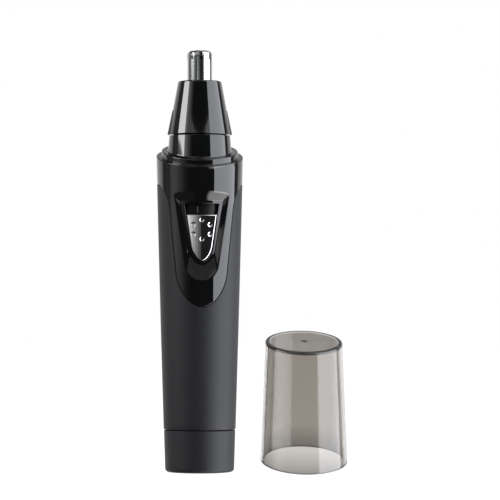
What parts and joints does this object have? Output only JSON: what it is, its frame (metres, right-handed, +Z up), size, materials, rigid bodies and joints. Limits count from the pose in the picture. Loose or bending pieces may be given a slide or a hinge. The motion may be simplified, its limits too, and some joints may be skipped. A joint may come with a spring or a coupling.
{
  "type": "nose hair trimmer",
  "caption": "Upright battery nose hair trimmer with a slotted rotary cutter, thumb slide switch, twist-off head, battery cap and a separate smoke-clear protective cap.",
  "frame": {"origin": "centre of the flat base of the trimmer, under the battery cap", "axes": "+Z up along the trimmer to its cutter, -Y towards the switch, +X towards the protective cap standing beside it"},
  "size_m": [0.0655, 0.0384, 0.1456],
  "materials": {
    "soft_touch_black": "fine soft-touch paint, matte charcoal",
    "gloss_black": "polished black moulding",
    "chrome": "mirror chrome",
    "cutter_steel": "ground stainless steel",
    "turned_steel": "turned steel",
    "spring_steel": "drawn spring wire",
    "zinc_plate": "bright zinc plating",
    "contact_brass": "stamped brass",
    "copper": "copper alloy",
    "ferrite": "sintered ferrite",
    "cell_can": "printed sleeve with no lettering",
    "frame_plastic": "plain moulded plastic",
    "white_acetal": "satin engineering plastic",
    "seal_rubber": "matte rubber",
    "red_wire": "flexible insulation",
    "black_wire": "flexible insulation",
    "smoke_clear": "see-through smoke-brown plastic"
  },
  "bodies": {
    "handle": {"handle_shell": "soft_touch_black", "upper_housing": "gloss_black", "head_socket": "white_acetal", "switch_track": "gloss_black", "fixed_contact": "contact_brass", "frame_front": "frame_plastic", "frame_rear": "frame_plastic", "frame_screw_left": "zinc_plate", "frame_screw_right": "zinc_plate", "battery_cell": "cell_can", "battery_contact_positive": "contact_brass", "battery_strip_negative": "contact_brass", "wire_red": "red_wire", "wire_black": "black_wire", "motor_can": "zinc_plate", "motor_end_cap": "frame_plastic", "motor_magnet_left": "ferrite", "motor_magnet_right": "ferrite", "motor_brush_left": "copper", "motor_brush_right": "copper", "motor_damper": "seal_rubber"},
    "switch": {"slide_button": "chrome", "button_carrier": "white_acetal", "moving_contact": "contact_brass"},
    "rotor": {"motor_shaft": "turned_steel", "armature": "turned_steel", "commutator": "copper", "drive_coupling": "white_acetal"},
    "head_carrier": {"head_seal": "seal_rubber"},
    "head": {"nose_cone": "gloss_black", "outer_cutter": "cutter_steel", "cutter_retainer": "white_acetal", "stem_bearing": "white_acetal"},
    "cutter": {"inner_cutter": "cutter_steel", "cutter_stem": "white_acetal", "cutter_spring": "spring_steel"},
    "battery_cap_carrier": {"battery_cap_seal": "seal_rubber"},
    "battery_cap": {"battery_cap": "soft_touch_black", "spring_plate": "contact_brass", "battery_spring": "spring_steel"},
    "cap": {"protective_cap": "smoke_clear"}
  },
  "joints": [
    {"name": "switch_slide", "type": "slide", "parent": "handle", "child": "switch", "axis": [0, -0.027, 0.9996], "range_m": [0, 0.0035]},
    {"name": "motor_spin", "type": "hinge", "parent": "handle", "child": "rotor", "pos_m": [0, 0, 0.08], "axis": [0, 0, 1], "continuous": true},
    {"name": "head_pull", "type": "slide", "parent": "handle", "child": "head_carrier", "axis": [0, 0, 1], "range_m": [0, 0.045]},
    {"name": "head_twist", "type": "hinge", "parent": "head_carrier", "child": "head", "pos_m": [0, 0, 0.116], "axis": [0, 0, 1], "range_deg": [-30, 0]},
    {"name": "cutter_spin", "type": "hinge", "parent": "head_carrier", "child": "cutter", "pos_m": [0, 0, 0.12], "axis": [0, 0, 1], "continuous": true},
    {"name": "battery_cap_pull", "type": "slide", "parent": "handle", "child": "battery_cap_carrier", "axis": [0, 0, -1], "range_m": [0, 0.03]},
    {"name": "battery_cap_twist", "type": "hinge", "parent": "battery_cap_carrier", "child": "battery_cap", "pos_m": [0, 0, 0.0146], "axis": [0, 0, 1], "range_deg": [0, 35]},
    {"name": "cap_lift", "type": "slide", "parent": "handle", "child": "cap", "axis": [0, 0, 1], "range_m": [0, 0.155]}
  ],
  "couplings": [
    {"joint": "cutter_spin", "follows": "motor_spin", "ratio": 1}
  ]
}
